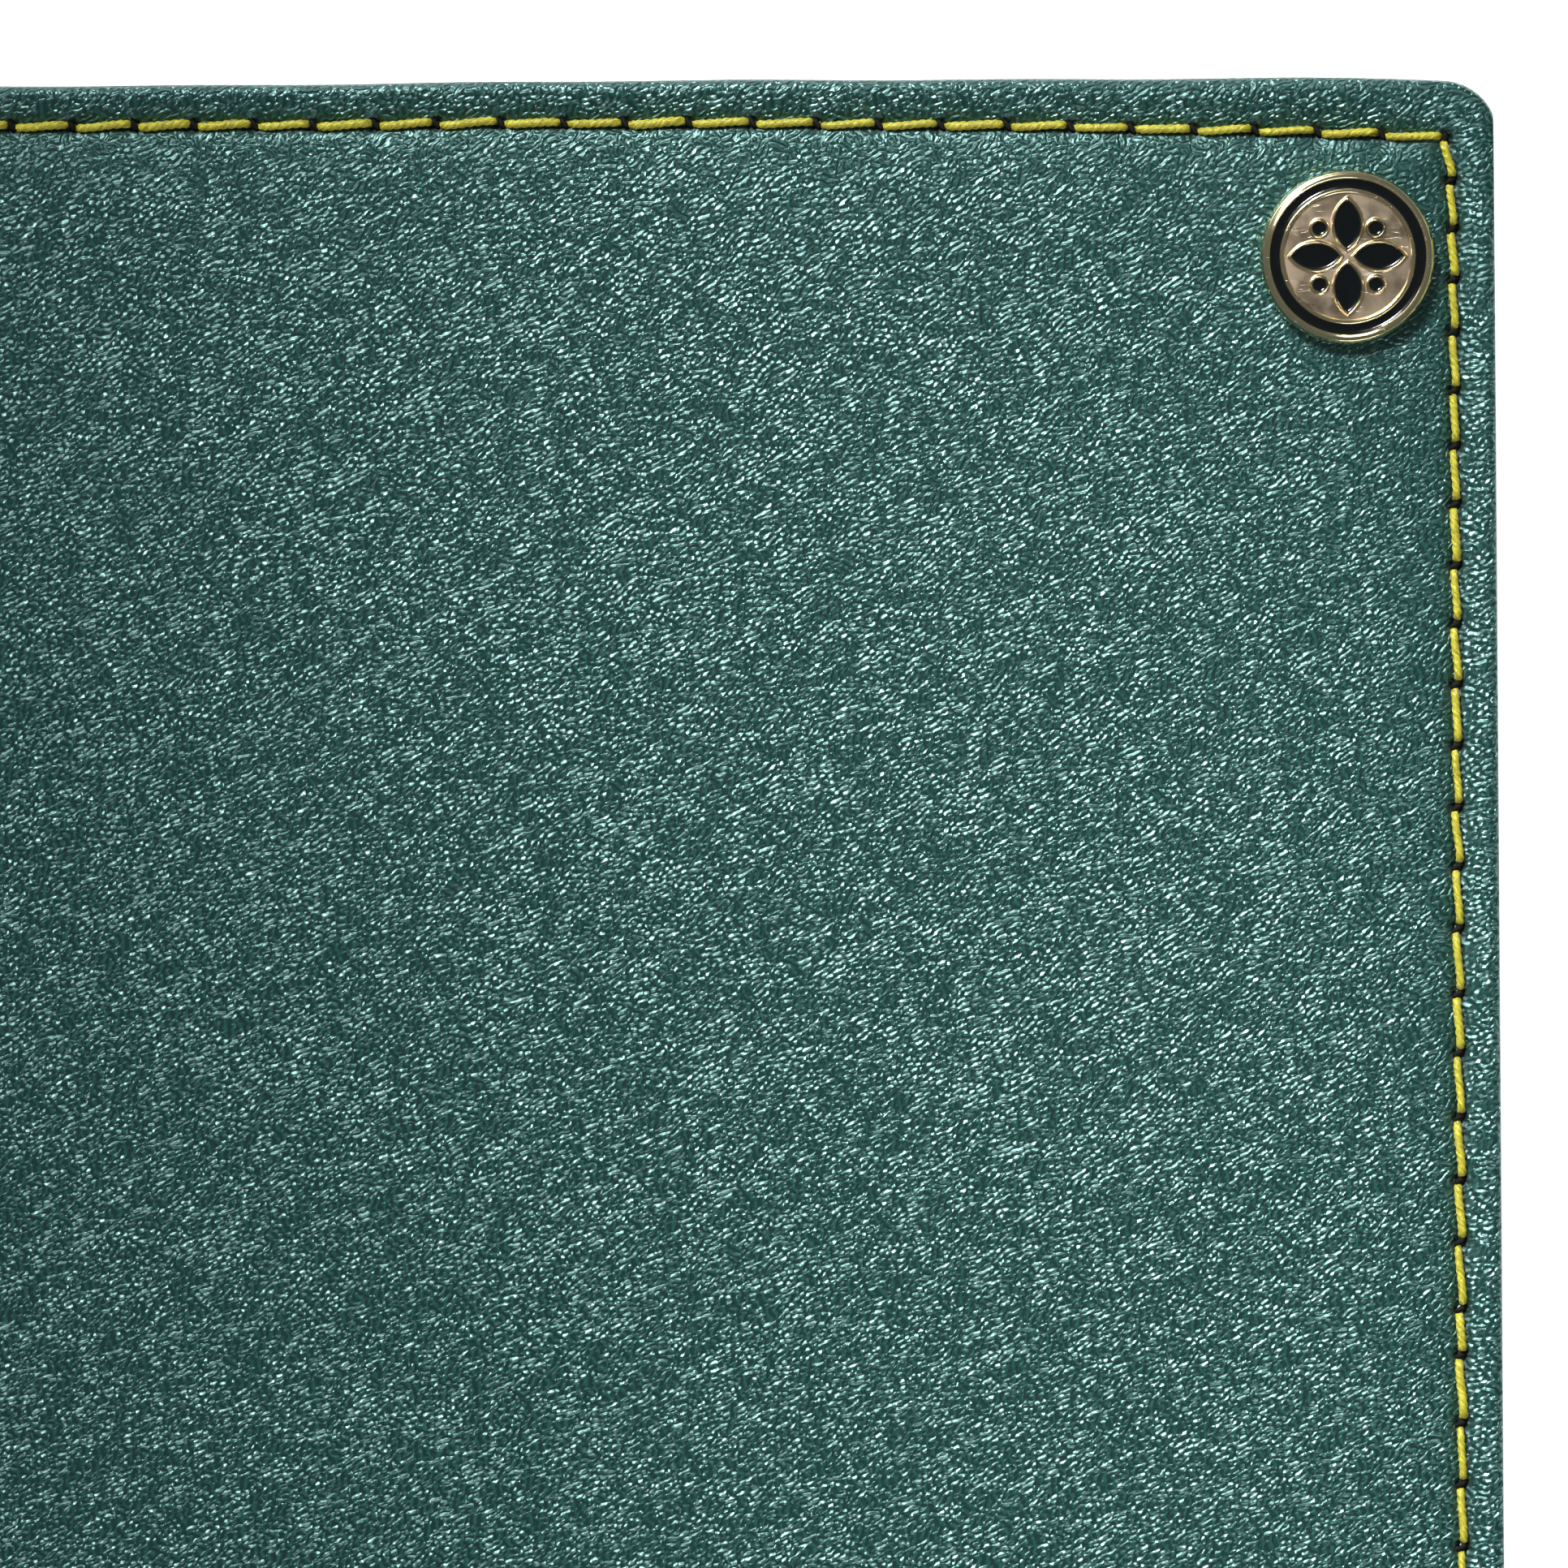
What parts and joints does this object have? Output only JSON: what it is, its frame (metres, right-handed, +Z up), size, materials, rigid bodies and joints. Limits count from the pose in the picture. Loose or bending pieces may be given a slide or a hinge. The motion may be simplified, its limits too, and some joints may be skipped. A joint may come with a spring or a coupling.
{
  "type": "pocket notebook",
  "caption": "Thread-sewn pocket notebook in a padded, edge-stitched leatherette cover, with rounded fore-edge corners and a small round enamelled metal badge near one corner.",
  "frame": {"origin": "centre of the bounding box of the closed notebook's underside, the back cover's outer face", "axes": "+X from the spine to the fore-edge, +Y from the tail to the head, +Z up out of the front cover"},
  "size_m": [0.1116, 0.155, 0.0187],
  "materials": {
    "leather_green": "embossed worm grain, semi-matt",
    "thread_yellow": "twisted polyester thread, slight sheen",
    "thread_dark": "dark twisted polyester thread",
    "thread_white": "waxed linen thread",
    "padding": "thin soft foam",
    "board": "grey-brown binder's board",
    "lining": "smooth matt leatherette",
    "paper": "uncoated ivory paper",
    "endpaper": "heavier uncoated ivory paper",
    "gauze": "open-weave bookbinder's gauze stiffened with glue",
    "end_band": "woven yellow and green bead",
    "badge_metal": "pale gold plate, finely scratched",
    "washer_steel": "plain stamped",
    "enamel_dark": "glossy black-green enamel"
  },
  "bodies": {
    "back_cover": {"back_skin": "leather_green", "back_foam": "padding", "back_board": "board", "back_lining": "lining", "back_pastedown": "endpaper", "back_needle_thread": "thread_yellow", "back_bobbin_thread": "thread_dark"},
    "spine": {"spine_skin": "leather_green", "spine_board": "board", "spine_lining": "lining", "spine_gauze": "gauze", "spine_needle_thread": "thread_yellow", "spine_bobbin_thread": "thread_dark", "binding_thread": "thread_white", "head_band": "end_band", "tail_band": "end_band", "front_joint_leather": "leather_green", "back_joint_leather": "leather_green"},
    "front_cover": {"front_skin": "leather_green", "front_foam": "padding", "front_board": "board", "front_lining": "lining", "front_pastedown": "endpaper", "front_needle_thread": "thread_yellow", "front_bobbin_thread": "thread_dark", "badge_body": "badge_metal", "badge_ring_enamel": "enamel_dark", "badge_emblem_enamel": "enamel_dark", "badge_washer": "washer_steel"},
    "front_flyleaf_leaf": {"front_flyleaf": "endpaper"},
    "section_1_leaf": {"section_1": "paper"},
    "section_2_leaf": {"section_2": "paper"},
    "section_3_leaf": {"section_3": "paper"},
    "section_4_leaf": {"section_4": "paper"},
    "section_5_leaf": {"section_5": "paper"},
    "section_6_leaf": {"section_6": "paper"},
    "section_7_leaf": {"section_7": "paper"},
    "section_8_leaf": {"section_8": "paper"},
    "back_flyleaf_leaf": {"back_flyleaf": "endpaper"}
  },
  "joints": [
    {"name": "back_joint", "type": "hinge", "parent": "back_cover", "child": "spine", "pos_m": [-0.05365, 0, 0.00347], "axis": [0, -1, 0], "range_deg": [0, 90], "deforming": ["back_joint_leather"]},
    {"name": "front_joint", "type": "hinge", "parent": "spine", "child": "front_cover", "pos_m": [-0.05365, 0, 0.01388], "axis": [0, -1, 0], "range_deg": [0, 89], "deforming": ["front_joint_leather"]},
    {"name": "front_flyleaf_turn", "type": "hinge", "parent": "spine", "child": "front_flyleaf_leaf", "pos_m": [-0.05365, 0, 0.01388], "axis": [0, -1, 0], "range_deg": [0, 89]},
    {"name": "section_1_turn", "type": "hinge", "parent": "spine", "child": "section_1_leaf", "pos_m": [-0.05365, 0, 0.01388], "axis": [0, -1, 0], "range_deg": [0, 89]},
    {"name": "section_2_turn", "type": "hinge", "parent": "spine", "child": "section_2_leaf", "pos_m": [-0.05365, 0, 0.01388], "axis": [0, -1, 0], "range_deg": [0, 89]},
    {"name": "section_3_turn", "type": "hinge", "parent": "spine", "child": "section_3_leaf", "pos_m": [-0.05365, 0, 0.01388], "axis": [0, -1, 0], "range_deg": [0, 89]},
    {"name": "section_4_turn", "type": "hinge", "parent": "spine", "child": "section_4_leaf", "pos_m": [-0.05365, 0, 0.01388], "axis": [0, -1, 0], "range_deg": [0, 89]},
    {"name": "section_5_turn", "type": "hinge", "parent": "spine", "child": "section_5_leaf", "pos_m": [-0.05365, 0, 0.00347], "axis": [0, -1, 0], "range_deg": [-90, 0]},
    {"name": "section_6_turn", "type": "hinge", "parent": "spine", "child": "section_6_leaf", "pos_m": [-0.05365, 0, 0.00347], "axis": [0, -1, 0], "range_deg": [-90, 0]},
    {"name": "section_7_turn", "type": "hinge", "parent": "spine", "child": "section_7_leaf", "pos_m": [-0.05365, 0, 0.00347], "axis": [0, -1, 0], "range_deg": [-90, 0]},
    {"name": "section_8_turn", "type": "hinge", "parent": "spine", "child": "section_8_leaf", "pos_m": [-0.05365, 0, 0.00347], "axis": [0, -1, 0], "range_deg": [-90, 0]},
    {"name": "back_flyleaf_turn", "type": "hinge", "parent": "spine", "child": "back_flyleaf_leaf", "pos_m": [-0.05365, 0, 0.00347], "axis": [0, -1, 0], "range_deg": [-90, 0]}
  ],
  "couplings": [
    {"joint": "front_flyleaf_turn", "follows": "front_joint", "ratio": 0.99},
    {"joint": "section_1_turn", "follows": "front_joint", "ratio": 0.975},
    {"joint": "section_2_turn", "follows": "front_joint", "ratio": 0.96},
    {"joint": "section_3_turn", "follows": "front_joint", "ratio": 0.945},
    {"joint": "section_4_turn", "follows": "front_joint", "ratio": 0.93},
    {"joint": "section_5_turn", "follows": "back_joint", "ratio": -0.93},
    {"joint": "section_6_turn", "follows": "back_joint", "ratio": -0.945},
    {"joint": "section_7_turn", "follows": "back_joint", "ratio": -0.96},
    {"joint": "section_8_turn", "follows": "back_joint", "ratio": -0.975},
    {"joint": "back_flyleaf_turn", "follows": "back_joint", "ratio": -0.99}
  ]
}
